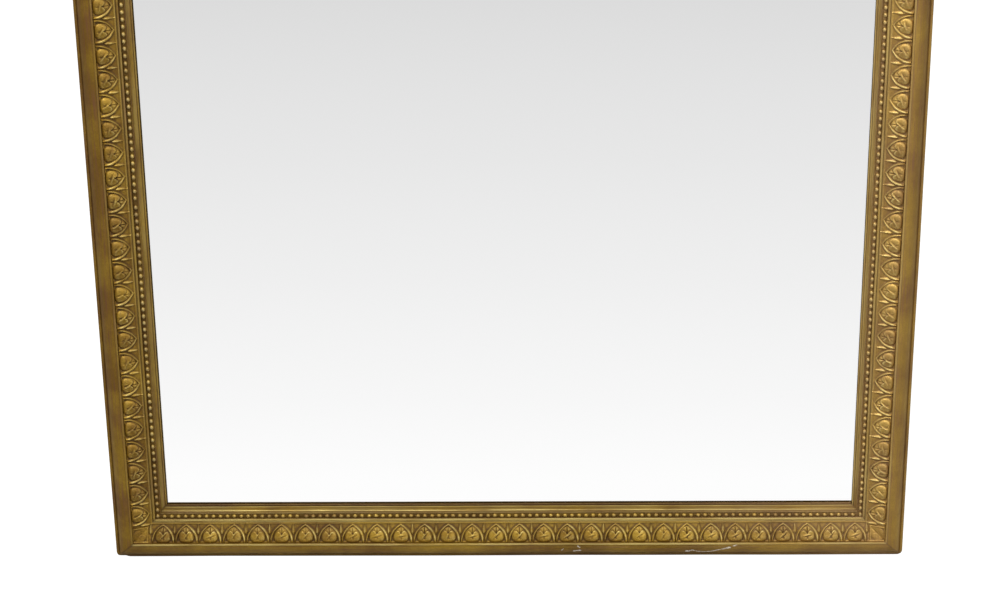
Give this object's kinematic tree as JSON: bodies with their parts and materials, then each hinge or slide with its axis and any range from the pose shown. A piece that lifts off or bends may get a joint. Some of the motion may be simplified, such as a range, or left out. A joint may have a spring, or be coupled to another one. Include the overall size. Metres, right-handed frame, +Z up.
{
  "type": "pier mirror",
  "caption": "Tall wall mirror in a gilt moulded frame with leaf-and-dart and beaded courses, a boarded back and swinging hanger rings.",
  "frame": {"origin": "bottom centre of the part's box, on the line it stands on", "axes": "+Z up, -Y out of the mirror's face, +X to the right for someone facing the mirror"},
  "size_m": [1.067, 0.062, 1.575],
  "materials": {
    "gilt_wood": "water-gilded gesso on pine, rubbed and worn",
    "gilt_composition": "oil-gilded pressed composition, dark in its hollows",
    "pine": "planed pine, aged and bare",
    "old_pine": "sawn pine boards, dark with age",
    "mirror_plate": "silvered plate glass",
    "iron": "dark wrought iron",
    "hanger_brass": "dull stamped brass"
  },
  "bodies": {
    "frame": {"rail_bottom": "pine", "rail_top": "pine", "stile_left": "pine", "stile_right": "pine", "outer_moulding_bottom": "gilt_wood", "outer_moulding_left": "gilt_wood", "outer_moulding_top": "gilt_wood", "outer_moulding_right": "gilt_wood", "bed_moulding_bottom": "gilt_wood", "bed_moulding_left": "gilt_wood", "bed_moulding_top": "gilt_wood", "bed_moulding_right": "gilt_wood", "leaf_strip_bottom": "gilt_composition", "leaf_strip_left": "gilt_composition", "leaf_strip_top": "gilt_composition", "leaf_strip_right": "gilt_composition", "bead_strip_bottom": "gilt_composition", "bead_strip_left": "gilt_composition", "bead_strip_top": "gilt_composition", "bead_strip_right": "gilt_composition", "sight_slip_bottom": "gilt_wood", "sight_slip_left": "gilt_wood", "sight_slip_top": "gilt_wood", "sight_slip_right": "gilt_wood", "corner_leaf_bottom_left": "gilt_composition", "corner_leaf_top_left": "gilt_composition", "corner_leaf_top_right": "gilt_composition", "corner_leaf_bottom_right": "gilt_composition", "mitre_key_bottom_left": "old_pine", "mitre_key_top_left": "old_pine", "mitre_key_top_right": "old_pine", "mitre_key_bottom_right": "old_pine", "mirror_glass": "mirror_plate", "glass_rests": "old_pine", "glazing_blocks_bottom": "old_pine", "glazing_blocks_left": "old_pine", "glazing_blocks_top": "old_pine", "glazing_blocks_right": "old_pine", "backboard_1": "old_pine", "backboard_2": "old_pine", "backboard_3": "old_pine", "backboard_4": "old_pine", "backboard_5": "old_pine", "backboard_6": "old_pine", "backboard_7": "old_pine", "backboard_nails": "iron", "hanger_strap_left": "hanger_brass", "hanger_strap_right": "hanger_brass", "hanger_screws_left": "hanger_brass", "hanger_screws_right": "hanger_brass"},
    "left_ring": {"hanger_ring_left": "iron"},
    "right_ring": {"hanger_ring_right": "iron"}
  },
  "joints": [
    {"name": "left_ring_swing", "type": "hinge", "parent": "frame", "child": "left_ring", "pos_m": [-0.5135, 0.02734, 1.215], "axis": [1, 0, 0], "range_deg": [0, 170]},
    {"name": "right_ring_swing", "type": "hinge", "parent": "frame", "child": "right_ring", "pos_m": [0.5135, 0.02734, 1.215], "axis": [1, 0, 0], "range_deg": [0, 170]}
  ]
}
